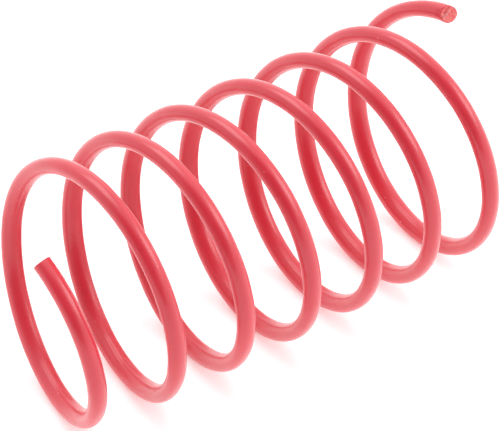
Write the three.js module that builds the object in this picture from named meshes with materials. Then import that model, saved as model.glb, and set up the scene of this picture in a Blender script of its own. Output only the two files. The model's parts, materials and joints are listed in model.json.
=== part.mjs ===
// Coil spring: an open-ended, right-handed compression spring of oval coated wire.
//
// Units are millimetres and +Z is up. The spring lies on its side with its axis along X, so its
// free length runs from the near end (-X) to the far end (+X), and its coils rest on Z = 0.
//
// The real spring is one length of wire whose coils close up as it is squeezed. Rigid solids can
// not bend, so the wire is divided into short arcs that slide along X past each other by a small
// step each. The arcs meet face to face with a narrow gap.

import * as THREE from "three";

// ---------------------------------------------------------------- driving dimensions

const WIRE_WIDTH = 4.5; // coated wire, the long way across its oval section
const WIRE_THICKNESS = 3.65; // coated wire, the short way, which points roughly at the axis
const WIRE_ROLL = -18; // degrees that the oval is turned about the wire's own direction
const MEAN_COIL_RADIUS = 26.8; // spring axis to wire centre
const PITCH = 16.75; // axial advance of the wire in one turn, at the free length
const TURNS = 6.925; // turns of wire, tip to tip
const START_ANGLE = 22.5; // degrees round the axis of the near tip, 0 at the top
const BOW = 0.95; // the middle coils stand this far to one side of the end ones

// The coils at each end lean over, by this much either way along the axis, and the lean dies
// away over some turns. Its angle, round the axis, is that of the side that leans to the far end.
const NEAR_LEAN = 3.0;
const NEAR_LEAN_ANGLE = 270;
const NEAR_LEAN_TURNS = 3.9;
const FAR_LEAN = 0.7;
const FAR_LEAN_ANGLE = 60;
const FAR_LEAN_TURNS = 1.5;

const RUN_IN = 7.8; // the near tip lies this much nearer to the axis than the coils
const RUN_IN_TURNS = 0.46; // turns over which the wire runs in to the near tip

const ARCS = 55; // rigid arcs that stand for the flexible wire, its two ends among them
const FAR_END_ARCS = 1.4; // length of the far end, counted in arcs
const ARCS_PER_COIL = 8; // arcs that share a coil's number in their names
const ARC_GAP = 0.3; // clearance between the faces of neighbouring arcs

const WIRE_SIDES = 12; // flats round the wire
const STEPS_PER_ARC = 5; // straight steps along one arc

// ---------------------------------------------------------------- the wire's centre line

const FULL_TURN = 360;
const TANGENT_STEP = 1e-4; // turns to either side of a place where its direction is measured
const arcTurns = TURNS / (ARCS - 1 + FAR_END_ARCS);

// 1 at a tip, falling smoothly to 0 at `reach` turns from it.
function fadeFromTip(turnsFromTip, reach) {
  return 1 - THREE.MathUtils.smoothstep(turnsFromTip, 0, reach);
}

// Shift along the axis of a coil that leans over, at an angle round the axis.
function leanShift(lean, degrees, leanAngle) {
  return lean * Math.cos(THREE.MathUtils.degToRad(degrees - leanAngle));
}

// Centre of the wire, `turn` turns after the near tip, about an axis along X.
function wireCentre(turn) {
  const degrees = START_ANGLE + turn * FULL_TURN;
  const angle = THREE.MathUtils.degToRad(degrees);
  const nearLean = NEAR_LEAN * fadeFromTip(turn, NEAR_LEAN_TURNS);
  const farLean = FAR_LEAN * fadeFromTip(TURNS - turn, FAR_LEAN_TURNS);
  const radius = MEAN_COIL_RADIUS - RUN_IN * fadeFromTip(turn, RUN_IN_TURNS);
  const fromMiddle = (2 * turn) / TURNS - 1;
  return new THREE.Vector3(
    PITCH * turn +
      leanShift(nearLean, degrees, NEAR_LEAN_ANGLE) +
      leanShift(farLean, degrees, FAR_LEAN_ANGLE),
    -radius * Math.sin(angle) - BOW * (1 - fromMiddle ** 2),
    radius * Math.cos(angle),
  );
}

// Unit vectors across the wire along the short and the long way of its oval section.
function sectionAxes(turn) {
  const ahead = wireCentre(turn + TANGENT_STEP);
  const tangent = ahead.sub(wireCentre(turn - TANGENT_STEP)).normalize();
  const angle = THREE.MathUtils.degToRad(START_ANGLE + turn * FULL_TURN);
  const short = new THREE.Vector3(0, -Math.sin(angle), Math.cos(angle));
  short.projectOnPlane(tangent).normalize();
  short.applyAxisAngle(tangent, THREE.MathUtils.degToRad(WIRE_ROLL));
  const long = new THREE.Vector3().crossVectors(tangent, short);
  return { short, long };
}

// ---------------------------------------------------------------- the arcs of wire

// The corners of the wire's section at a place, in order round the wire.
function sectionCorners(turn) {
  const centre = wireCentre(turn);
  const { short, long } = sectionAxes(turn);
  return Array.from({ length: WIRE_SIDES }, (_, side) => {
    const around = (2 * Math.PI * side) / WIRE_SIDES;
    return centre
      .clone()
      .addScaledVector(short, (WIRE_THICKNESS / 2) * Math.cos(around))
      .addScaledVector(long, (WIRE_WIDTH / 2) * Math.sin(around));
  });
}

// Triangles of the side between neighbouring sections, and of the two flat ends, facing outwards.
function arcTriangles(sections) {
  const triangles = [];
  const lastFirstCorner = (sections - 1) * WIRE_SIDES;
  for (let section = 0; section < sections - 1; section += 1) {
    for (let side = 0; side < WIRE_SIDES; side += 1) {
      const corner = section * WIRE_SIDES + side;
      const nextCorner = section * WIRE_SIDES + ((side + 1) % WIRE_SIDES);
      triangles.push(corner, nextCorner, nextCorner + WIRE_SIDES);
      triangles.push(corner, nextCorner + WIRE_SIDES, corner + WIRE_SIDES);
    }
  }
  for (let side = 1; side < WIRE_SIDES - 1; side += 1) {
    triangles.push(0, side + 1, side);
    triangles.push(lastFirstCorner, lastFirstCorner + side, lastFirstCorner + side + 1);
  }
  return triangles;
}

function coatedWireMaterial() {
  return new THREE.MeshStandardMaterial({
    color: new THREE.Color().setRGB(0.83, 0.3, 0.35, THREE.SRGBColorSpace),
    roughness: 0.38,
    metalness: 0.0,
  });
}

function wireArc(name, firstTurn, lastTurn) {
  const steps = Math.ceil((lastTurn - firstTurn) / arcTurns * STEPS_PER_ARC);
  const corners = [];
  for (let step = 0; step <= steps; step += 1) {
    const turn = THREE.MathUtils.lerp(firstTurn, lastTurn, step / steps);
    corners.push(...sectionCorners(turn));
  }
  const geometry = new THREE.BufferGeometry().setFromPoints(corners);
  geometry.setIndex(arcTriangles(steps + 1));
  geometry.computeVertexNormals();
  const mesh = new THREE.Mesh(geometry, coatedWireMaterial());
  mesh.name = name;
  return mesh;
}

// The first and last arcs are the spring's two cut ends; the others are numbered by coil.
function arcName(index) {
  if (index === 0) return "near_end";
  if (index === ARCS - 1) return "far_end";
  const coil = Math.floor(index / ARCS_PER_COIL) + 1;
  const arc = (index % ARCS_PER_COIL) + 1;
  return `coil_${coil}_arc_${arc}`;
}

// Equal arcs follow each other from the near tip, and the far end takes the rest of the wire.
function coilSpring() {
  const spring = new THREE.Group();
  const gapTurns = ARC_GAP / Math.hypot(2 * Math.PI * MEAN_COIL_RADIUS, PITCH);
  for (let index = 0; index < ARCS; index += 1) {
    const isFirst = index === 0;
    const isLast = index === ARCS - 1;
    const firstTurn = index * arcTurns + (isFirst ? 0 : gapTurns / 2);
    const lastTurn = isLast ? TURNS : (index + 1) * arcTurns - gapTurns / 2;
    spring.add(wireArc(arcName(index), firstTurn, lastTurn));
  }
  return spring;
}

// ---------------------------------------------------------------- the part

// The spring rests on Z = 0 with the middle of its bounding box over the origin.
function restOnFloor(spring) {
  const bounds = new THREE.Box3().setFromObject(spring, true);
  const centre = bounds.getCenter(new THREE.Vector3());
  spring.position.set(-centre.x, -centre.y, -bounds.min.z);
  return spring;
}

const part = new THREE.Group();
part.add(restOnFloor(coilSpring()));

export default part;
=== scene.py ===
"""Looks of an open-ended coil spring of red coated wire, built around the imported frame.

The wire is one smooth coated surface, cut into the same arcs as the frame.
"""

import json
import math

import bpy
import numpy as np
from bpy.props import FloatProperty, FloatVectorProperty, IntProperty, PointerProperty
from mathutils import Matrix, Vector

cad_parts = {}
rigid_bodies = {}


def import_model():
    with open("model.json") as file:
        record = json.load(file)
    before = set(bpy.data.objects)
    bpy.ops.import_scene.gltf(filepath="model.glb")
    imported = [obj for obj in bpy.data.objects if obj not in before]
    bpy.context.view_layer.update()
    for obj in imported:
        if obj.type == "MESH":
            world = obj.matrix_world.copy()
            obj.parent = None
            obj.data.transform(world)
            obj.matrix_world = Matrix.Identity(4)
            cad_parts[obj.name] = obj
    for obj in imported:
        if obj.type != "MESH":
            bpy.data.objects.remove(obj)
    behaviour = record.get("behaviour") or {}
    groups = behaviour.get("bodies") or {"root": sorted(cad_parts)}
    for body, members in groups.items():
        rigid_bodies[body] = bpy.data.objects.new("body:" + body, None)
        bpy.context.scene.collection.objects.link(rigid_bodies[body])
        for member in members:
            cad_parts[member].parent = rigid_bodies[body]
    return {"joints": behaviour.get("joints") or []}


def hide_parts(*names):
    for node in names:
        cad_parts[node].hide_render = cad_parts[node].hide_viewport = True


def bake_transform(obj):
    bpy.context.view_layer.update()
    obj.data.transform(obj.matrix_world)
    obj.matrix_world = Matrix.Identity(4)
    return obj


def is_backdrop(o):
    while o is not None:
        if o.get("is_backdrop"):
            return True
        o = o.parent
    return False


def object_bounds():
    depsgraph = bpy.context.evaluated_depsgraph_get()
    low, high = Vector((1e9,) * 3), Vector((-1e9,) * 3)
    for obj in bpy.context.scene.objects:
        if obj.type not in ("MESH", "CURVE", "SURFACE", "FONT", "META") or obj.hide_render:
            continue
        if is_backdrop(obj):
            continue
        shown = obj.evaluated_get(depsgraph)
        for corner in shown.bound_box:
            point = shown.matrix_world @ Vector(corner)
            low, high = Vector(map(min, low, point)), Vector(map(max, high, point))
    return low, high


bl_info = {
    "name": "Coil Spring",
    "version": (1, 0, 0),
    "blender": (4, 5, 0),
    "location": "3D View > Sidebar > Coil Spring",
    "description": "Coated wire coil spring with its studio, built around the packed frame",
    "category": "Object",
}

MM = 0.001
FULL_TURN = 2 * math.pi

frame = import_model()
FRAME_LOW, FRAME_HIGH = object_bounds()
FRAME_CENTRE = (FRAME_LOW + FRAME_HIGH) / 2


# ---------------------------------------------------------------- settings


class CoilSettings(bpy.types.PropertyGroup):
    """Sizes of the coil, the same as the frame's, and the shape of its two cuts."""

    wire_width: FloatProperty(
        name="Wire Width",
        description="The long way across the coated wire's oval section",
        default=4.5 * MM,
        unit="LENGTH",
    )
    wire_thickness: FloatProperty(
        name="Wire Thickness",
        description="The short way across the coated wire's oval section",
        default=3.65 * MM,
        unit="LENGTH",
    )
    wire_roll: FloatProperty(
        name="Wire Roll",
        description="Turn of the oval about the wire, from its short way pointing at the axis",
        default=math.radians(-18),
        subtype="ANGLE",
    )
    mean_radius: FloatProperty(
        name="Mean Coil Radius",
        description="Distance from the spring's axis to the middle of the wire",
        default=26.8 * MM,
        unit="LENGTH",
    )
    pitch: FloatProperty(
        name="Pitch",
        description="Advance along the axis in one turn",
        default=16.75 * MM,
        unit="LENGTH",
    )
    turns: FloatProperty(
        name="Turns",
        description="Turns of wire from tip to tip",
        default=6.925,
    )
    far_end_arcs: FloatProperty(
        name="Far End Arcs",
        description="Length of the far end's arc, counted in the frame's other arcs",
        default=1.4,
    )
    start_angle: FloatProperty(
        name="Start Angle",
        description="Place of the near tip round the axis, 0 at the top",
        default=math.radians(22.5),
        subtype="ANGLE",
    )
    bow: FloatProperty(
        name="Bow",
        description="How far the middle coils stand to one side of the end ones",
        default=0.95 * MM,
        unit="LENGTH",
    )
    near_lean: FloatProperty(
        name="Near Lean",
        description="How far the near end's coils lean either way along the axis",
        default=3.0 * MM,
        unit="LENGTH",
    )
    near_lean_angle: FloatProperty(
        name="Near Lean Angle",
        description="Place round the axis of the side that leans towards the far end",
        default=math.radians(270),
        subtype="ANGLE",
    )
    near_lean_turns: FloatProperty(
        name="Near Lean Turns",
        description="Turns over which the near end's lean dies away",
        default=3.9,
    )
    far_lean: FloatProperty(
        name="Far Lean",
        description="How far the far end's coils lean either way along the axis",
        default=0.7 * MM,
        unit="LENGTH",
    )
    far_lean_angle: FloatProperty(
        name="Far Lean Angle",
        description="Place round the axis of the side that leans away from the near end",
        default=math.radians(60),
        subtype="ANGLE",
    )
    far_lean_turns: FloatProperty(
        name="Far Lean Turns",
        description="Turns over which the far end's lean dies away",
        default=1.5,
    )
    run_in: FloatProperty(
        name="Run In",
        description="How much nearer to the axis the near tip lies than the coils",
        default=7.8 * MM,
        unit="LENGTH",
    )
    run_in_turns: FloatProperty(
        name="Run In Turns",
        description="Turns over which the wire runs in to the near tip",
        default=0.46,
    )
    edge_radius: FloatProperty(
        name="Cut Edge Radius",
        description="Rounding that the coating gives the edge of a cut end",
        default=0.24 * MM,
        unit="LENGTH",
    )
    near_cut_slant: FloatProperty(
        name="Near Cut Slant",
        description="Slant of the near end's cut from square across the wire",
        default=math.radians(22),
        subtype="ANGLE",
    )
    shear_angle: FloatProperty(
        name="Shear Angle",
        description="Slant of the far end's cut from square across the wire",
        default=math.radians(15),
        subtype="ANGLE",
    )


class CoatingSettings(bpy.types.PropertyGroup):
    """Colours and finish of the coated wire."""

    coat_colour: FloatVectorProperty(
        name="Coat Colour",
        description="Colour of the red coating",
        default=(0.655, 0.006, 0.026),
        size=3,
        subtype="COLOR",
    )
    thin_colour: FloatVectorProperty(
        name="Thin Coat Colour",
        description="Colour where the coating is thinner",
        default=(0.70, 0.014, 0.036),
        size=3,
        subtype="COLOR",
    )
    # Colour of nicks in the coating, and of the far ridge's pale crest, which is partly scraped
    # coating and partly a painted highlight.
    scuff_and_highlight_colour: FloatVectorProperty(
        name="Scuff Colour",
        description="Colour of a nick or scuff in the coating",
        default=(0.80, 0.32, 0.33),
        size=3,
        subtype="COLOR",
    )
    cut_colour: FloatVectorProperty(
        name="Cut Face Colour",
        description="Colour of the cut ends under their thin coating",
        default=(0.74, 0.062, 0.066),
        size=3,
        subtype="COLOR",
    )
    grain_colour: FloatVectorProperty(
        name="Cut Grain Colour",
        description="Colour of the lighter grain on the cut ends",
        default=(0.84, 0.150, 0.130),
        size=3,
        subtype="COLOR",
    )
    roughness: FloatProperty(
        name="Roughness",
        description="Roughness of the clean coating",
        default=0.42,
        subtype="FACTOR",
    )
    peel_depth: FloatProperty(
        name="Peel Depth",
        description="Height of the coating's fine orange-peel texture",
        default=0.012 * MM,
        unit="LENGTH",
    )


class StudioSettings(bpy.types.PropertyGroup):
    """Place of the camera and strength of the light."""

    camera_azimuth: FloatProperty(
        name="Camera Azimuth",
        description="Direction that the camera looks from, round the vertical, 0 at -Y",
        default=math.radians(-38.5),
        subtype="ANGLE",
    )
    camera_elevation: FloatProperty(
        name="Camera Elevation",
        description="Height of the camera above the horizon",
        default=math.radians(35.2),
        subtype="ANGLE",
    )
    camera_distance: FloatProperty(
        name="Camera Distance",
        description="Distance from the camera to the middle of the spring",
        default=690.5 * MM,
        unit="LENGTH",
    )
    camera_aim: FloatVectorProperty(
        name="Camera Aim",
        description="Place that the camera looks at, from the middle of the spring",
        default=(-0.05 * MM, -0.8 * MM, 0.0),
        size=3,
        subtype="TRANSLATION",
    )
    lens: FloatProperty(
        name="Lens",
        description="Focal length for a 36 mm wide sensor, in millimetres",
        default=230.4,
    )
    tent_strength: FloatProperty(
        name="Tent Strength",
        description="Brightness of the white tent round the spring",
        default=1.23,
    )
    tent_opening: FloatProperty(
        name="Tent Opening",
        description="How much darker the tent is where the camera looks in",
        default=0.74,
        subtype="FACTOR",
    )
    softbox_power: FloatProperty(
        name="Softbox Power",
        description="Power of the overhead softbox in watts",
        default=1.8,
        unit="POWER",
    )
    side_softbox_power: FloatProperty(
        name="Side Softbox Power",
        description="Power of the softbox to the camera's right in watts",
        default=1.5,
        unit="POWER",
    )


# ---------------------------------------------------------------- shader nodes


class Value:
    """A number socket. Arithmetic on it adds Math nodes to its tree."""

    def __init__(self, nodes, socket):
        self.nodes = nodes
        self.socket = socket

    def math(self, operation, first, second):
        """The result of a Math node on two values or numbers."""
        node = self.nodes.add(
            "ShaderNodeMath", {"operation": operation}, {0: first, 1: second}
        )
        return Value(self.nodes, node.outputs[0])

    def __add__(self, other):
        return self.math("ADD", self, other)

    def __radd__(self, other):
        return self.math("ADD", other, self)

    def __sub__(self, other):
        return self.math("SUBTRACT", self, other)

    def __rsub__(self, other):
        return self.math("SUBTRACT", other, self)

    def __mul__(self, other):
        return self.math("MULTIPLY", self, other)

    def __rmul__(self, other):
        return self.math("MULTIPLY", other, self)


class Nodes:
    """The node tree of one material or of the tent. `owner` is what holds the tree."""

    def __init__(self, owner):
        self.owner = owner
        owner.use_nodes = True
        self.tree = owner.node_tree
        self.tree.nodes.clear()

    def add(self, kind, settings=None, inputs=None):
        """Any node: its settings are set first, then its sockets' values or links."""
        node = self.tree.nodes.new(kind)
        for name, setting in (settings or {}).items():
            setattr(node, name, setting)
        for key, given in (inputs or {}).items():
            source = given.socket if isinstance(given, Value) else given
            if isinstance(source, bpy.types.NodeSocket):
                self.tree.links.new(source, node.inputs[key])
            else:
                node.inputs[key].default_value = source
        return node

    def value(self, kind, settings=None, inputs=None, output=0):
        """A number output of any node, ready for arithmetic."""
        return Value(self, self.add(kind, settings, inputs).outputs[output])

    def band(self, value, low, high):
        """0 below low, 1 above high and smooth between them."""
        settings = {"interpolation_type": "SMOOTHSTEP", "clamp": True}
        inputs = {"Value": value, "From Min": low, "From Max": high}
        return self.value("ShaderNodeMapRange", settings, inputs)

    def noise(self, vector, scale, detail, roughness):
        """Noise from 0 to 1, about NOISE_MEAN, with `scale` cells in a unit of the vector."""
        inputs = {
            "Vector": vector,
            "Scale": scale,
            "Detail": detail,
            "Roughness": roughness,
        }
        return self.value("ShaderNodeTexNoise", {}, inputs)

    def mix(self, factor, first, second):
        """A colour between two colours."""
        inputs = {0: factor, 6: first, 7: second}
        return self.add("ShaderNodeMix", {"data_type": "RGBA"}, inputs).outputs[2]


def opaque(colour):
    """Four numbers for a colour socket from a colour's three."""
    return (*colour, 1.0)


# ---------------------------------------------------------------- the wire's surface

RINGS_PER_TURN = 288  # rings of points along one turn of wire
WIRE_SIDES = 56  # points round the wire
FACE_RINGS = 24  # rings on a cut face, from its middle to its rounded edge
EDGE_RINGS = 9  # rings round the rounded edge
TANGENT_STEP = 1e-4  # turns to either side of a place where its tangent is measured
MIDDLE_SAMPLES = 4000  # places along the wire that its middle is worked out from

# Unevenness of the coating: (height, waves in a turn, waves round the wire, phase).
COATING_WAVES = (
    (0.011 * MM, 5.3, 1, 0.4),
    (0.009 * MM, 8.1, -2, 1.9),
    (0.007 * MM, 12.7, 3, 4.2),
    (0.005 * MM, 21.4, -1, 2.6),
    (0.004 * MM, 33.9, 2, 5.1),
    (0.003 * MM, 57.3, -4, 0.8),
)


def arc_names():
    """The frame's arcs from the near end to the far end, by how far each one travels."""
    travel = {joint["child"]: joint["range_m"][1] for joint in frame["joints"]}
    parents = {joint["parent"] for joint in frame["joints"]}
    fixed = [name for name in parents if name not in travel]
    return fixed + sorted(travel, key=travel.get)


def fade_from_tip(from_tip, reach):
    """1 at a tip, falling to 0 at `reach` from it as 1 - (3s^2 - 2s^3).

    s is the share of the reach. Both are in turns, or both in metres.
    """
    share = np.clip(from_tip / reach, 0, 1)
    return 1 - share * share * (3 - 2 * share)


def wire_centre(coil, turn):
    """Middle of the wire: a helix about X with leaning ends, a bow and a tip that runs in.

    x is pitch times turns plus both leans, each its size times the cosine of the angle from its
    side. (y, z) is the radius at the turning angle, which starts at the top and goes round
    towards -Y, and y less the bow times one minus the square of the distance from the middle.
    """
    angle = coil.start_angle + turn * FULL_TURN
    near = coil.near_lean * fade_from_tip(turn, coil.near_lean_turns)
    far = coil.far_lean * fade_from_tip(coil.turns - turn, coil.far_lean_turns)
    x = coil.pitch * turn + near * np.cos(angle - coil.near_lean_angle)
    x = x + far * np.cos(angle - coil.far_lean_angle)
    radius = coil.mean_radius - coil.run_in * fade_from_tip(turn, coil.run_in_turns)
    from_middle = 2 * turn / coil.turns - 1
    y = -radius * np.sin(angle) - coil.bow * (1 - from_middle**2)
    return np.stack([x, y, radius * np.cos(angle)], axis=-1)


def unit(vectors):
    """Vectors divided by their lengths."""
    return vectors / np.linalg.norm(vectors, axis=-1, keepdims=True)


def wire_axes(coil, turn):
    """Outward and sideways unit vectors across the wire.

    Outward is the direction away from the spring's axis less its part along the tangent, and
    sideways is the tangent crossed with outward.
    """
    ahead = wire_centre(coil, turn + TANGENT_STEP)
    behind = wire_centre(coil, turn - TANGENT_STEP)
    tangent = unit(ahead - behind)
    angle = coil.start_angle + turn * FULL_TURN
    radial = np.stack([0 * angle, -np.sin(angle), np.cos(angle)], axis=-1)
    along = np.sum(radial * tangent, axis=-1, keepdims=True)
    outward = unit(radial - along * tangent)
    return outward, np.cross(tangent, outward)


def axis_origin(coil):
    """Where the helix's own origin lies, so that the wire's box has the frame's middle."""
    turn = np.linspace(0, coil.turns, MIDDLE_SAMPLES)
    centre = wire_centre(coil, turn)
    middle = (centre.min(axis=0) + centre.max(axis=0)) / 2
    return np.array(FRAME_CENTRE) - middle


def unevenness(turn, around):
    """Thickness of the coating over its mean: a sum of slow waves along and round the wire.

    Each wave is its height times the sine of (a full turn times its waves in a turn times the
    turns, plus its waves round the wire times the angle round it, plus its phase).
    """
    total = 0 * turn * around
    for height, per_turn, round_count, phase in COATING_WAVES:
        angle = FULL_TURN * per_turn * turn + round_count * around + phase
        total = total + height * np.sin(angle)
    return total


def turn_length(coil):
    """Length of wire in one turn: the root of the squares of circumference and pitch."""
    return math.hypot(FULL_TURN * coil.mean_radius, coil.pitch)


def side_rings(first, last):
    """Ring places in turns along a stretch of wire."""
    return np.linspace(first, last, 1 + round(RINGS_PER_TURN * abs(last - first)))


def section_radius(coil):
    """Radius of the round section that has the oval's area."""
    return math.sqrt(coil.wire_width * coil.wire_thickness) / 2


def cut_end_rings(coil):
    """(distance from the tip, radius) of the rings on a cut face and its rounded edge.

    The face's rings grow from the middle; the edge's follow a quarter circle on to the side.
    """
    radius = section_radius(coil)
    edge = coil.edge_radius
    face = np.linspace(0, radius - edge, FACE_RINGS + 1)[1:]
    bend = np.linspace(0, math.pi / 2, EDGE_RINGS + 1)[1:]
    distance = np.concatenate([0 * face, edge * (1 - np.cos(bend))])
    return distance, np.concatenate([face, radius - edge + edge * np.sin(bend)])


def section_place(coil, radius, around):
    """(outward, sideways) place in the wire's oval section.

    A place on the round section of the same area, r (cos, sin), is stretched to the oval, cos by
    thickness and sin by width, and turned by the oval's roll.
    """
    mean = 2 * section_radius(coil)
    short = radius * np.cos(around) * coil.wire_thickness / mean
    long = radius * np.sin(around) * coil.wire_width / mean
    cosine, sine = math.cos(coil.wire_roll), math.sin(coil.wire_roll)
    return short * cosine - long * sine, short * sine + long * cosine


def wire_points(coil, turn, radius, around):
    """Points of the wire: its centre plus the section's place along outward and sideways."""
    outward, sideways = wire_axes(coil, turn)
    out, side = section_place(coil, radius, around)
    spoke = out[..., None] * outward + side[..., None] * sideways
    return wire_centre(coil, turn) + spoke + axis_origin(coil)


def grid_faces(rings, sides):
    """Quads of a tube's grid, facing outwards, as an array of vertex numbers."""
    ring, side = np.meshgrid(np.arange(rings - 1), np.arange(sides), indexing="ij")
    after = (side + 1) % sides
    corners = (ring * sides + side, ring * sides + after, (ring + 1) * sides + after)
    return np.stack([*corners, (ring + 1) * sides + side], axis=-1).reshape(-1, 4)


def fan_faces(centre, first, sides, forwards):
    """Triangles from a middle vertex to a ring that starts at vertex `first`."""
    side = first + np.arange(sides)
    after = first + (np.arange(sides) + 1) % sides
    middle = np.full(sides, centre)
    corners = (middle, side, after) if forwards else (middle, after, side)
    return np.stack(corners, axis=-1)


def closed_tube(name, rings, first_middle, last_middle, sharp):
    """A smooth piece of rings (count x sides x 3) closed by a fan at each end.

    `sharp` says for the first and the last ring whether its edge is a sharp corner.
    """
    count, sides, _ = rings.shape
    points = np.concatenate([rings.reshape(-1, 3), [first_middle], [last_middle]])
    last_ring = (count - 1) * sides
    faces = grid_faces(count, sides).tolist()
    faces += fan_faces(count * sides, 0, sides, False).tolist()
    faces += fan_faces(count * sides + 1, last_ring, sides, True).tolist()
    mesh = bpy.data.meshes.new(name)
    mesh.from_pydata(points, [], faces)
    mesh.polygons.foreach_set("use_smooth", np.ones(len(mesh.polygons), bool))
    ends = np.zeros(len(mesh.edges) * 2, np.int32)
    mesh.edges.foreach_get("vertices", ends)
    ring_of = ends.reshape(-1, 2) // sides
    same = ring_of[:, 0] == ring_of[:, 1]
    corner = same & (ring_of[:, 0] == 0) & sharp[0]
    corner |= same & (ring_of[:, 0] == count - 1) & sharp[1]
    mesh.edges.foreach_set("use_edge_sharp", corner)
    piece = bpy.data.objects.new(name, mesh)
    bpy.context.scene.collection.objects.link(piece)
    return piece


def add_wire_place(piece, turn, around, share):
    """Stores (s cos, s sin, turn) on each point, which the finish follows.

    s is the share of the wire's radius: 1 on its side and 0 at the middle of a face.
    """
    places = np.stack([share * np.cos(around), share * np.sin(around), turn], axis=-1)
    places = places.reshape(-1, 3)
    middles = places[[0, -1]] * [0, 0, 1]
    attribute = piece.data.attributes.new("wire_place", "FLOAT_VECTOR", "POINT")
    values = np.concatenate([places, middles]).astype(np.float32)
    attribute.data.foreach_set("vector", values.ravel())


def add_scrape_and_highlight(piece, scrape_and_highlight):
    """Stores, from 0 to 1 at each point, the pale colour of the far face's torn ridge: partly
    coating that the shear scraped off, partly a painted highlight on the ridge.
    """
    attribute = piece.data.attributes.new("scrape_and_highlight", "FLOAT", "POINT")
    values = np.concatenate([scrape_and_highlight.ravel(), [0, 0]]).astype(np.float32)
    attribute.data.foreach_set("value", values)


# ---------------------------------------------------------------- pieces


def inverse_smoothstep(weight):
    """Share of the way at which 3s^2 - 2s^3 reaches a weight."""
    return 0.5 - math.sin(math.asin(1 - 2 * weight) / 3)


def arc_span(coil, names, index):
    """First and last place of an arc, in turns from the near tip."""
    last_index = len(names) - 1
    arc_turns = coil.turns / (last_index + coil.far_end_arcs)
    last = coil.turns if index == last_index else (index + 1) * arc_turns
    return index * arc_turns, last


def bend_with_coils(piece, coil, names, index):
    """Works out how an arc would blend so that its travel grows evenly from its first to its last
    ring, and bakes its transform; the blend itself is not applied.

    The arc at `index` travels index / (count - 1) of the compression, so its ends travel half a
    step less and more. The weights are for a blend between the fixed near end and a body about
    twice as far along, where the blend's weight is near a half and grows almost evenly.
    """
    last_index = len(names) - 1
    other = min(max(2 * index, 1), last_index)
    low = inverse_smoothstep(max(index - 0.5, 0) / other)
    high = inverse_smoothstep(min(index + 0.5, last_index) / other)
    ends = wire_centre(coil, np.array(arc_span(coil, names, index))) + axis_origin(coil)
    chord = (ends[1] - ends[0]) / (high - low)
    start = ends[0] - chord * low
    Vector(start + chord)
    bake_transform(piece)


def plain_arc(coil, names, index):
    """A stretch of wire inside the coil: rings of its oval section plus the unevenness."""
    first, last = arc_span(coil, names, index)
    turn, around = np.meshgrid(
        side_rings(first, last),
        np.linspace(0, FULL_TURN, WIRE_SIDES, endpoint=False),
        indexing="ij",
    )
    radius = section_radius(coil) + unevenness(turn, around)
    rings = wire_points(coil, turn, radius, around)
    middles = wire_centre(coil, np.array([first, last])) + axis_origin(coil)
    piece = closed_tube(f"{names[index]}_coated", rings, *middles, (True, True))
    add_wire_place(piece, turn, around, 1 + 0 * turn)
    return piece


def bump(distance, width):
    """A smooth hump, exp(-(d / w)^2)."""
    return np.exp(-np.square(distance / width))


def angle_between(around, place):
    """Signed angle from a place round the wire, between half a turn either way."""
    return (around - place + math.pi) % FULL_TURN - math.pi


CUT_REACH = 5 * MM  # distance from the tip over which a cut's slant shifts the wire's rings

# The sides of the wire below are angles from its outward direction towards its sideways one.
NEAR_CUT_SIDE = 0.58  # side that the near end's cut leaves shorter
NEAR_CUT_BACK = 0.17 * MM  # how much shorter the near end is than the frame's
NEAR_DISH_DEPTH = 0.06 * MM  # hollow of the near face at its middle
NEAR_LIP_HEIGHT = 0.05 * MM  # lip on the near rim
NEAR_LIP_PLACE = 5.3  # angle of that lip on the section, before its roll
NEAR_LIP_ANGLE = 0.9  # angle over which it falls away
NEAR_LIP_REACH = 0.5 * MM  # distance from the tip over which it falls away

SHEAR_SIDE = 0.84  # side that the far end's cut leaves shorter
FAR_CUT_AHEAD = 0.27 * MM  # how much longer the far end is than the frame's
FLARE_GROWTH = 0.17 * MM  # growth that makes the oval rounder at the far tip
FLARE_REACH = 12 * MM  # distance from the tip over which the flare dies away

# The far face is measured from its middle, across towards the broken side and along at a right
# angle to that.
BREAK_SIDE = 0.66  # side of the far face that broke out
BREAK_DEPTH = 0.30 * MM  # depth of the broken part
BREAK_EDGE = 0.95 * MM  # where it begins, across the face
BREAK_STEP = 0.07 * MM  # how wide the step down to it is
RIDGE_ACROSS = 0.72 * MM  # line of the torn ridge
RIDGE_WIDTH = 0.19 * MM  # distance from that line over which it falls away
RIDGE_HEIGHT = 0.22 * MM
RIDGE_MIDDLE = 0.4 * MM  # middle of the ridge, along its line
RIDGE_REACH = 1.3 * MM  # length over which it falls away to either side
HOOK_ALONG = 1.35 * MM  # where the hook leaves the ridge's line
HOOK_LEAN = 0.45  # how far the hook turns back along the line, for its length
HOOK_MIDDLE = 1.15 * MM  # middle of the hook, across the face
HOOK_REACH = 0.45 * MM  # length over which it falls away to either side
HOOK_SHARE = 0.8  # height of the hook, as a share of the ridge's
FURROW_DEPTH = 0.03 * MM  # fine furrows on the face
FURROW_LENGTH = 0.16 * MM  # distance along the face in which a furrow's wave turns by 1
FURROW_BEND = 2  # how strongly the furrows wander
FURROW_BEND_LENGTH = 0.3 * MM  # distance across the face in which their wander turns by 1
FACE_REACH = 0.35 * MM  # distance from the tip over which the face's relief falls away

PINCH_SIDE = 1.05  # place of the pinch in the far rim
PINCH_DEPTH = 0.30 * MM
PINCH_ANGLE = 0.38  # angle over which the pinch falls away
PINCH_DISTANCE = 0.6 * MM  # middle of the pinch, from the tip
PINCH_REACH = 0.5 * MM  # length over which it falls away to either side
LIP_HEIGHT = 0.09 * MM  # lip that the pinch pushed up behind itself, given in the same way
LIP_ANGLE = 0.5
LIP_DISTANCE = 1.5 * MM
LIP_REACH = 0.3 * MM


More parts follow.
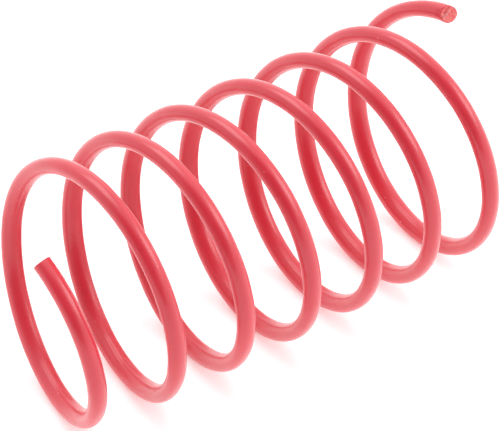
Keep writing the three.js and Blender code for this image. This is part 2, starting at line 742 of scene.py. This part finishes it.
def near_cut_relief(coil, distance, radius, around):
    """(push into the wire, change of radius, scrape and painted highlight) of the near cut: a
    slant, a dish and a lip.

    The slant is its tangent times the place towards the shorter side, and the dish its depth
    times one minus the square of the share of the radius.
    """
    share = radius / radius.max()
    out, side = section_place(coil, radius, around)
    towards = out * math.cos(NEAR_CUT_SIDE) + side * math.sin(NEAR_CUT_SIDE)
    slant = math.tan(coil.near_cut_slant) * towards
    dish = NEAR_DISH_DEPTH * (1 - share**2)
    push = (slant + dish + NEAR_CUT_BACK) * fade_from_tip(distance, CUT_REACH)
    lip = NEAR_LIP_HEIGHT * bump(distance, NEAR_LIP_REACH)
    lip = lip * bump(angle_between(around, NEAR_LIP_PLACE), NEAR_LIP_ANGLE)
    return push, lip * share, 0 * share


def torn_ridge(across, along):
    """The far face's torn ridge and the hook at its end, 1 at its crest.

    Each is a hump about its line times a hump about its middle on that line.
    """
    line = bump(across - RIDGE_ACROSS, RIDGE_WIDTH) * bump(along - RIDGE_MIDDLE, RIDGE_REACH)
    hook_line = along - HOOK_ALONG + HOOK_LEAN * (across - RIDGE_ACROSS)
    hook = bump(hook_line, RIDGE_WIDTH) * bump(across - HOOK_MIDDLE, HOOK_REACH)
    return np.maximum(line, HOOK_SHARE * hook)


def broken_face(across, along):
    """Depth of the far face's broken part, a smooth step 1 / (1 + exp(-d / w)), and furrows."""
    broken = BREAK_DEPTH / (1 + np.exp(-(across - BREAK_EDGE) / BREAK_STEP))
    bend = FURROW_BEND * np.sin(across / FURROW_BEND_LENGTH)
    return broken + FURROW_DEPTH * np.sin(along / FURROW_LENGTH + bend)


def pinched_rim(distance, place):
    """Growth of the far rim at the pinch: a hump for the lip less a hump for the pinch."""
    angle = angle_between(place, PINCH_SIDE)
    pinch = bump(angle, PINCH_ANGLE) * bump(distance - PINCH_DISTANCE, PINCH_REACH)
    lip = bump(angle, LIP_ANGLE) * bump(distance - LIP_DISTANCE, LIP_REACH)
    return LIP_HEIGHT * lip - PINCH_DEPTH * pinch


def far_cut_relief(coil, distance, radius, around):
    """(push into the wire, change of radius, scrape and painted highlight) of the far cut.

    The shear went through at a slant. It broke out the part of the face beyond a straight line,
    threw up a ridge along that line, with a hook at its end, and pinched the wire's rim beside it.
    """
    share = radius / radius.max()
    out, side = section_place(coil, radius, around)
    towards = out * math.cos(SHEAR_SIDE) + side * math.sin(SHEAR_SIDE)
    slant = math.tan(coil.shear_angle) * towards
    across = out * math.cos(BREAK_SIDE) + side * math.sin(BREAK_SIDE)
    along = side * math.cos(BREAK_SIDE) - out * math.sin(BREAK_SIDE)
    torn = torn_ridge(across, along)
    near_face = bump(distance, FACE_REACH)
    push = (slant - FAR_CUT_AHEAD) * fade_from_tip(distance, CUT_REACH)
    push = push + (broken_face(across, along) - RIDGE_HEIGHT * torn) * near_face
    flare = FLARE_GROWTH * fade_from_tip(distance, FLARE_REACH) * np.square(np.cos(around))
    growth = flare + pinched_rim(distance, np.arctan2(side, out))
    # The third value colours the torn ridge's crest pale: partly coating that the shear scraped
    # off, partly a painted highlight along the crest.
    return push, growth * share, torn * near_face


def cut_arc(coil, names, index, relief, at_far_end):
    """An end of the wire: face rings, rounded-edge rings, then side rings, with the cut's relief.

    Every ring has a distance from the tip and a radius. The relief pushes points into the wire
    and changes their radius.
    """
    first, last = arc_span(coil, names, index)
    tip, inner = (last, first) if at_far_end else (first, last)
    inwards = (inner - tip) / abs(inner - tip)
    tip_distance, tip_radius = cut_end_rings(coil)
    edge_turn = tip + inwards * coil.edge_radius / turn_length(coil)
    side = np.abs(side_rings(edge_turn, inner)[1:] - tip)
    distance = np.concatenate([tip_distance, side * turn_length(coil)])
    radius = np.concatenate([tip_radius, np.full(len(side), section_radius(coil))])
    around = np.linspace(0, FULL_TURN, WIRE_SIDES, endpoint=False)
    distance, around = np.meshgrid(distance, around, indexing="ij")
    radius = np.broadcast_to(radius[:, None], distance.shape)
    push, growth, scrape_and_highlight = relief(coil, distance, radius, around)
    turn = tip + inwards * (distance + push) / turn_length(coil)
    share = radius / radius.max()
    swell = unevenness(turn, around) * share
    rings = wire_points(coil, turn, radius + growth + swell, around)
    inner_middle = wire_centre(coil, np.array(inner)) + axis_origin(coil)
    middles = (rings[0].mean(axis=0), inner_middle)
    sharp = (False, True)
    if at_far_end:
        rings, turn, around = rings[::-1], turn[::-1], around[::-1]
        share, scrape_and_highlight = share[::-1], scrape_and_highlight[::-1]
        middles, sharp = middles[::-1], sharp[::-1]
    piece = closed_tube(f"{names[index]}_coated", rings, *middles, sharp)
    add_wire_place(piece, turn, around, share)
    add_scrape_and_highlight(piece, scrape_and_highlight)
    return piece


# ---------------------------------------------------------------- finish of the wire


FINISH = "coated_wire_finish"  # name of the wire's material

# Noises: (scale, detail, roughness). The scale is in cells a metre, and the streaks' in cells a
# radius of the wire.
MOTTLE = (70.0, 3.0, 0.55)
STREAKS = (7.0, 3.0, 0.6)
PEEL = (1500.0, 2.0, 0.5)
RIPPLE = (330.0, 2.0, 0.5)
GRIT = (900.0, 1.0, 0.5)
GRAIN = (1300.0, 3.0, 0.6)
NOISE_MEAN = 0.5
STREAK_STRETCH = (1, 1, 0.5)  # the streaks' cells are long along the wire

# Bands: a mask is 0 below the first number and 1 above the second.
CUT_BAND = (0.03, 0.10)  # distance in from the wire's side, as a share of its radius
THIN_BAND = (0.38, 0.66)
SPECK_BAND = (0.75, 0.79)
SPECK_PATCH_BAND = (0.48, 0.62)  # specks are found only where the mottle is high
GRAIN_BAND = (0.42, 0.62)

# Shares of the two noises that say where the coating is thin.
THIN_FROM_MOTTLE = 0.7
THIN_FROM_STREAK = 0.3

# How far the scuff and highlight colour covers the coating's on a speck, and on the far ridge,
# where it is partly a scrape and partly a painted highlight.
SPECK_SHARE = 0.55
SCRAPE_AND_HIGHLIGHT_SHARE = 0.9

# What each mask or noise adds to the roughness.
STREAK_ROUGHNESS = 0.16
MOTTLE_ROUGHNESS = 0.12
SPECK_ROUGHNESS = 0.2
CUT_ROUGHNESS = 0.15

# What each mask or noise adds to the height of the texture, in peel depths.
PEEL_HEIGHT = 0.45
RIPPLE_HEIGHT = 1.3
STREAK_HEIGHT = 2.8
SPECK_DEPTH = 0.8
GRAIN_HEIGHT = 4.0

COATING_IOR = 1.5
COATING_SPECULAR = 0.5
GLAZE_WEIGHT = 0.8  # the thin clear layer on top
GLAZE_ROUGHNESS = 0.2


def coating_material(coating):
    """Red satin coating: mottled colour, drawn streaks, orange peel, specks, grained cuts and a
    pale far ridge that is partly scraped coating and partly a painted highlight.
    """
    nodes = Nodes(bpy.data.materials.new(FINISH))
    place = nodes.add("ShaderNodeTexCoord").outputs["Object"]
    wire = nodes.add("ShaderNodeAttribute", {"attribute_name": "wire_place"}).outputs["Vector"]
    stretched = nodes.add(
        "ShaderNodeMapping",
        {"vector_type": "POINT"},
        {"Vector": wire, "Scale": STREAK_STRETCH},
    ).outputs["Vector"]

    mottle = nodes.noise(place, *MOTTLE)
    streak = nodes.noise(stretched, *STREAKS)
    peel = nodes.noise(place, *PEEL)
    ripple = nodes.noise(place, *RIPPLE)
    grit = nodes.noise(place, *GRIT)
    grain = nodes.noise(place, *GRAIN)

    across = nodes.add(
        "ShaderNodeVectorMath", {"operation": "MULTIPLY"}, {0: wire, 1: (1, 1, 0)}
    ).outputs["Vector"]
    from_middle = nodes.value(
        "ShaderNodeVectorMath", {"operation": "LENGTH"}, {0: across}, "Value"
    )
    cut = nodes.band(1 - from_middle, *CUT_BAND)
    scrape_and_highlight = nodes.value("ShaderNodeAttribute", {"attribute_name": "scrape_and_highlight"}, output="Fac")

    thin = nodes.band(mottle * THIN_FROM_MOTTLE + streak * THIN_FROM_STREAK, *THIN_BAND)
    speck = nodes.band(grit, *SPECK_BAND) * nodes.band(mottle, *SPECK_PATCH_BAND)
    grained = nodes.band(grain, *GRAIN_BAND)
    colour = nodes.mix(thin, opaque(coating.coat_colour), opaque(coating.thin_colour))
    colour = nodes.mix(speck * SPECK_SHARE, colour, opaque(coating.scuff_and_highlight_colour))
    bare = nodes.mix(grained, opaque(coating.cut_colour), opaque(coating.grain_colour))
    colour = nodes.mix(cut, colour, bare)
    # Pale crest on the far face's torn ridge: partly scraped coating, partly a painted highlight.
    colour = nodes.mix(scrape_and_highlight * SCRAPE_AND_HIGHLIGHT_SHARE, colour, opaque(coating.scuff_and_highlight_colour))

    roughness = coating.roughness + (streak - NOISE_MEAN) * STREAK_ROUGHNESS
    roughness = roughness + (mottle - NOISE_MEAN) * MOTTLE_ROUGHNESS
    roughness = roughness + speck * SPECK_ROUGHNESS + cut * CUT_ROUGHNESS
    height = peel * PEEL_HEIGHT + ripple * RIPPLE_HEIGHT + streak * STREAK_HEIGHT
    height = height - speck * SPECK_DEPTH + cut * grain * GRAIN_HEIGHT
    normal = nodes.add(
        "ShaderNodeBump",
        {},
        {"Strength": 1.0, "Distance": coating.peel_depth, "Height": height},
    ).outputs["Normal"]
    shader = nodes.add(
        "ShaderNodeBsdfPrincipled",
        {},
        {
            "Base Color": colour,
            "Roughness": roughness,
            "Normal": normal,
            "IOR": COATING_IOR,
            "Specular IOR Level": COATING_SPECULAR,
            "Coat Weight": GLAZE_WEIGHT,
            "Coat Roughness": GLAZE_ROUGHNESS,
            "Coat IOR": COATING_IOR,
        },
    ).outputs["BSDF"]
    nodes.add("ShaderNodeOutputMaterial", {}, {"Surface": shader})
    return nodes.owner


def shared_material():
    """The wire's finish, made once."""
    found = bpy.data.materials.get(FINISH)
    return found or coating_material(bpy.context.scene.coil_coating)


def finish_arc(piece, coil, names, index):
    """Coats an arc, lets it stand for its node of the frame, and works out its bend with the
    coils, without applying it.
    """
    piece.data.materials.append(shared_material())
    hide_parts(names[index])
    bend_with_coils(piece, coil, names, index)


# ---------------------------------------------------------------- studio


WHITE = (1.0, 1.0, 1.0, 1.0)

FLOOR_HALF_WIDTH = 3.0
FLOOR_COLOURS = ((0.90, 0.90, 0.90, 1), (0.93, 0.93, 0.93, 1))
FLOOR_CLOUDS = (3.0, 2.0, 0.5)  # noise: cells in a metre, detail, roughness
FLOOR_ROUGHNESS = 0.85
FLOOR_SPECULAR = 0.2
FLOOR_GLOW = 0.35  # light that the floor gives off, which thins the shadows

# Softboxes: place from the middle of the spring, and width.
OVERHEAD_PLACE, OVERHEAD_SIZE = (0.10, 0.30, 0.75), 0.5
SIDE_PLACE, SIDE_SIZE = (0.55, -0.37, 0.46), 0.4

# The tent's opening: angles from the camera's direction where it begins and is darkest.
OPENING_EDGE = math.radians(62)
OPENING_CORE = math.radians(26)

SENSOR_WIDTH = 36.0  # millimetres
CLIP_START, CLIP_END = 0.01, 50.0


def floor_material():
    """Matt white that varies slowly and glows faintly."""
    nodes = Nodes(bpy.data.materials.new("studio_floor_finish"))
    place = nodes.add("ShaderNodeTexCoord").outputs["Object"]
    colour = nodes.mix(nodes.noise(place, *FLOOR_CLOUDS), *FLOOR_COLOURS)
    shader = nodes.add(
        "ShaderNodeBsdfPrincipled",
        {},
        {
            "Base Color": colour,
            "Roughness": FLOOR_ROUGHNESS,
            "Specular IOR Level": FLOOR_SPECULAR,
            "Emission Color": WHITE,
            "Emission Strength": FLOOR_GLOW,
        },
    ).outputs["BSDF"]
    nodes.add("ShaderNodeOutputMaterial", {}, {"Surface": shader})
    return nodes.owner


def studio_floor():
    """A flat square under the spring's lowest point."""
    low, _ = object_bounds()
    half = FLOOR_HALF_WIDTH
    corners = [(-half, -half), (half, -half), (half, half), (-half, half)]
    mesh = bpy.data.meshes.new("studio_floor")
    mesh.from_pydata([(x, y, low.z) for x, y in corners], [], [(0, 1, 2, 3)])
    floor = bpy.data.objects.new("studio_floor", mesh)
    bpy.context.scene.collection.objects.link(floor)
    floor.data.materials.append(floor_material())
    floor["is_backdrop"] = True


def aim(item, target):
    """Turns a light or camera so that it looks at a place."""
    item.rotation_euler = (target - item.location).to_track_quat("-Z", "Y").to_euler()


def softbox(name, place, size, power):
    """A square area light that looks at the middle of the spring."""
    light = bpy.data.lights.new(name, "AREA")
    light.shape = "SQUARE"
    light.size = size
    light.energy = power
    item = bpy.data.objects.new(name, light)
    item.location = FRAME_CENTRE + Vector(place)
    aim(item, FRAME_CENTRE)
    bpy.context.scene.collection.objects.link(item)
    return item


def view_direction(studio):
    """Unit vector from the spring towards the camera.

    It is (sin a cos e, -cos a cos e, sin e) for the azimuth a and the elevation e.
    """
    azimuth, elevation = studio.camera_azimuth, studio.camera_elevation
    level = math.cos(elevation)
    return Vector((math.sin(azimuth) * level, -math.cos(azimuth) * level, math.sin(elevation)))


def studio_camera(studio):
    """The camera at its distance, looking at its aim near the middle of the spring."""
    camera = bpy.data.cameras.new("studio_camera")
    camera.lens = studio.lens
    camera.sensor_fit = "HORIZONTAL"
    camera.sensor_width = SENSOR_WIDTH
    camera.clip_start = CLIP_START
    camera.clip_end = CLIP_END
    item = bpy.data.objects.new("studio_camera", camera)
    target = FRAME_CENTRE + Vector(studio.camera_aim)
    item.location = target + view_direction(studio) * studio.camera_distance
    aim(item, target)
    bpy.context.scene.collection.objects.link(item)
    bpy.context.scene.camera = item


def studio_tent(studio):
    """White surroundings that fall off to a darker opening round the camera.

    Where the camera sees them directly they are plain white.
    """
    world = bpy.data.worlds.new("studio_tent")
    nodes = Nodes(world)
    direction = nodes.add("ShaderNodeTexCoord").outputs["Generated"]
    facing = nodes.value(
        "ShaderNodeVectorMath",
        {"operation": "DOT_PRODUCT"},
        {0: direction, 1: view_direction(studio)},
        "Value",
    )
    opening = nodes.band(facing, math.cos(OPENING_EDGE), math.cos(OPENING_CORE))
    strength = studio.tent_strength * (1 - studio.tent_opening * opening)
    seen = nodes.value("ShaderNodeLightPath", output="Is Camera Ray")
    strength = strength * (1 - seen) + seen
    light = {"Color": WHITE, "Strength": strength}
    surroundings = nodes.add("ShaderNodeBackground", {}, light).outputs["Background"]
    nodes.add("ShaderNodeOutputWorld", {}, {"Surface": surroundings})
    bpy.context.scene.world = world


# ---------------------------------------------------------------- operators


class WireEnds(bpy.types.Operator):
    """Makes the two cut ends of the wire"""

    bl_idname = "coil_spring.wire_ends"
    bl_label = "Make Wire Ends"

    def execute(self, context):
        coil = context.scene.coil_spring
        names = arc_names()
        for index, relief, at_far_end in (
            (0, near_cut_relief, False),
            (len(names) - 1, far_cut_relief, True),
        ):
            piece = cut_arc(coil, names, index, relief, at_far_end)
            finish_arc(piece, coil, names, index)
        return {"FINISHED"}


class WireArcs(bpy.types.Operator):
    """Makes the arcs of wire between the two ends"""

    bl_idname = "coil_spring.wire_arcs"
    bl_label = "Make Wire Arcs"

    def execute(self, context):
        coil = context.scene.coil_spring
        names = arc_names()
        for index in range(1, len(names) - 1):
            piece = plain_arc(coil, names, index)
            finish_arc(piece, coil, names, index)
        return {"FINISHED"}


class Studio(bpy.types.Operator):
    """Makes the pale floor, the soft light and the camera"""

    bl_idname = "coil_spring.studio"
    bl_label = "Make Studio"

    def execute(self, context):
        studio = context.scene.coil_studio
        studio_floor()
        studio_tent(studio)
        softbox("softbox_overhead", OVERHEAD_PLACE, OVERHEAD_SIZE, studio.softbox_power)
        softbox("softbox_side", SIDE_PLACE, SIDE_SIZE, studio.side_softbox_power)
        studio_camera(studio)
        context.scene.view_settings.view_transform = "Standard"
        return {"FINISHED"}


class CoilSpringPanel(bpy.types.Panel):
    """Sizes and steps of the coil spring"""

    bl_idname = "VIEW3D_PT_coil_spring"
    bl_label = "Coil Spring"
    bl_space_type = "VIEW_3D"
    bl_region_type = "UI"
    bl_category = "Coil Spring"

    def draw(self, context):
        scene = context.scene
        for group in (scene.coil_spring, scene.coil_coating, scene.coil_studio):
            box = self.layout.box()
            for name in group.bl_rna.properties.keys():
                if name not in {"rna_type", "name"}:
                    box.prop(group, name)
        for operator in (WireEnds, WireArcs, Studio):
            self.layout.operator(operator.bl_idname)


CLASSES = (
    CoilSettings,
    CoatingSettings,
    StudioSettings,
    WireEnds,
    WireArcs,
    Studio,
    CoilSpringPanel,
)


def register():
    for item in CLASSES:
        bpy.utils.register_class(item)
    bpy.types.Scene.coil_spring = PointerProperty(type=CoilSettings)
    bpy.types.Scene.coil_coating = PointerProperty(type=CoatingSettings)
    bpy.types.Scene.coil_studio = PointerProperty(type=StudioSettings)


def unregister():
    del bpy.types.Scene.coil_studio
    del bpy.types.Scene.coil_coating
    del bpy.types.Scene.coil_spring
    for item in reversed(CLASSES):
        bpy.utils.unregister_class(item)


def main():
    """Makes the spring and its studio."""
    register()
    bpy.ops.coil_spring.wire_ends()
    bpy.ops.coil_spring.wire_arcs()
    bpy.ops.coil_spring.studio()


if __name__ == "__main__":
    main()
